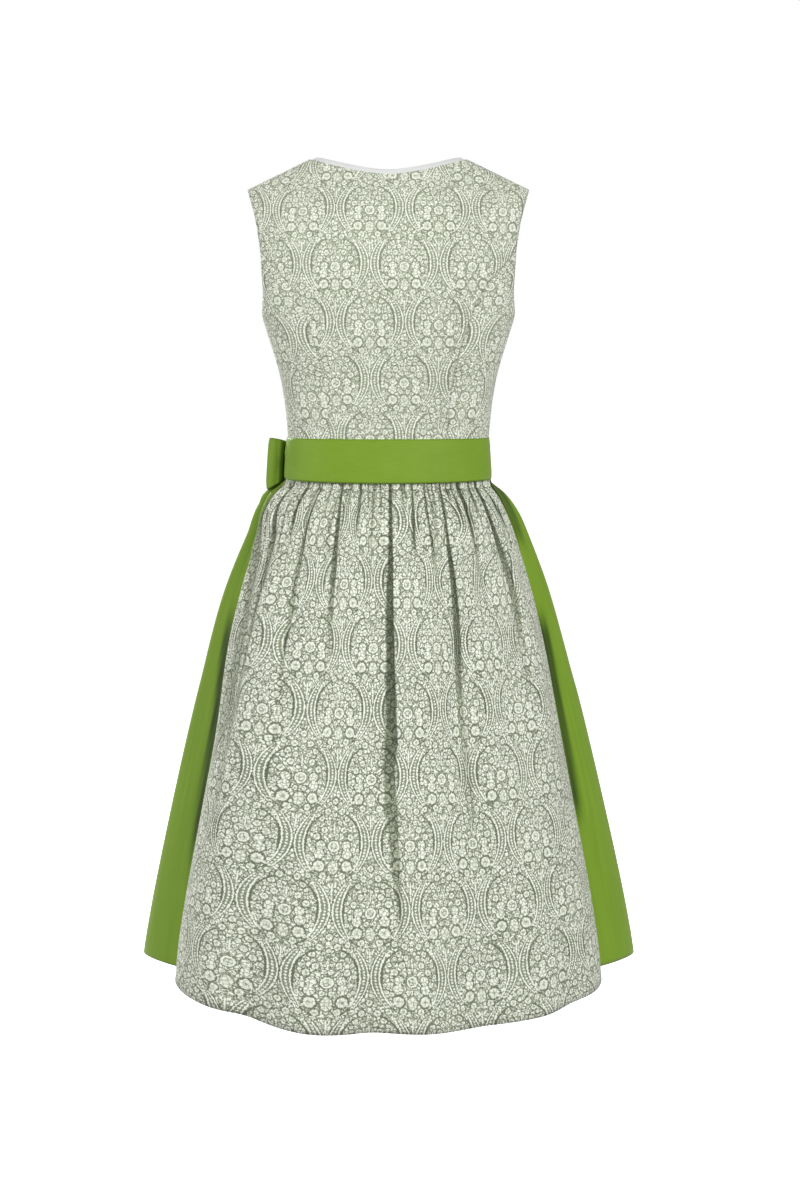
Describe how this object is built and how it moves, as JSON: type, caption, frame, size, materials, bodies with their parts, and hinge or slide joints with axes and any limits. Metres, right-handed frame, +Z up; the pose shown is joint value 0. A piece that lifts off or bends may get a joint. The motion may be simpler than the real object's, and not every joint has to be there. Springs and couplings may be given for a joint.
{
  "type": "dirndl dress",
  "caption": "Sleeveless midi dirndl dress with a fitted bodice, a gathered skirt and a green apron whose tie goes round the waist to a bow at the wearer's left side.",
  "frame": {"origin": "halfway between the two points where the shoulder seams meet the neckline; the wearer's shoulders carry the dress there", "axes": "+Z up along the wearer, front towards -Y, the wearer's left side towards +X"},
  "size_m": [0.678, 0.6065, 1.1089],
  "materials": {
    "bodice_print": "matt printed cotton, sage and cream floral medallions",
    "skirt_print": "matt printed cotton, the bodice's print",
    "apron_cloth": "apple-green satin cotton with a soft sheen",
    "neck_trim": "white woven trim",
    "buttons": "pale horn look, lightly polished"
  },
  "bodies": {
    "root": {"back_centre": "bodice_print", "side_back_left": "bodice_print", "side_back_right": "bodice_print", "side_front_left": "bodice_print", "side_front_right": "bodice_print", "front_left": "bodice_print", "front_right": "bodice_print", "neck_trim": "neck_trim", "button_1": "buttons", "button_2": "buttons", "button_3": "buttons", "button_4": "buttons", "button_5": "buttons", "button_6": "buttons", "button_7": "buttons", "skirt_back": "skirt_print", "skirt_front": "skirt_print", "apron_panel": "apron_cloth", "apron_waistband": "apron_cloth", "apron_tie": "apron_cloth", "bow_knot": "apron_cloth", "bow_loop_side": "apron_cloth", "bow_loop_front": "apron_cloth", "bow_tail_side": "apron_cloth", "bow_tail_front": "apron_cloth"}
  },
  "joints": []
}
